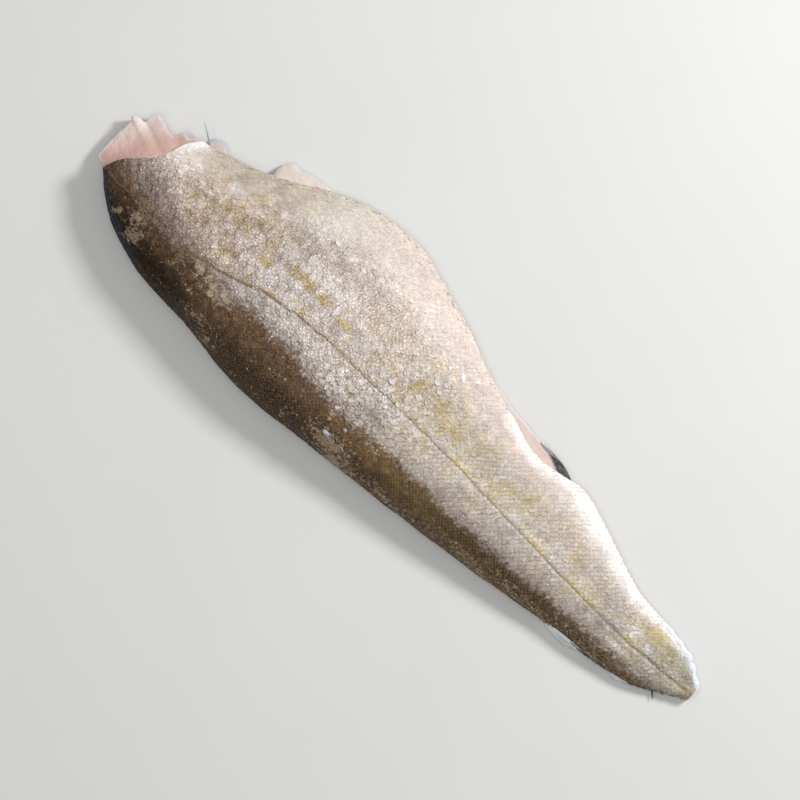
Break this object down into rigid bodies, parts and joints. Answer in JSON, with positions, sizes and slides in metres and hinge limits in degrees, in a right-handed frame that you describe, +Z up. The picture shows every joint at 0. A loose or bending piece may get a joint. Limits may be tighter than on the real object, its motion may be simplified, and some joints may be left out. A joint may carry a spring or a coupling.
{
  "type": "frozen pollock fillet",
  "caption": "Long skin-on frozen fish fillet lying skin side up, dark along the back and pale at the belly, with bare flesh at the slanting head cut and a narrow tail.",
  "frame": {"origin": "on the flat underside, in the middle of the fillet's length and width", "axes": "+X from the cut behind the head to the tail, +Y from the back edge to the belly edge, +Z up through the skin"},
  "size_m": [0.302, 0.0861, 0.0241],
  "materials": {
    "fillet": "satin fish skin with bare flesh at the cut edges",
    "bone": "satin bone",
    "fin_ray": "satin"
  },
  "bodies": {
    "root": {"fillet": "fillet", "pin_bone": "bone", "fin_ray": "fin_ray"}
  },
  "joints": []
}
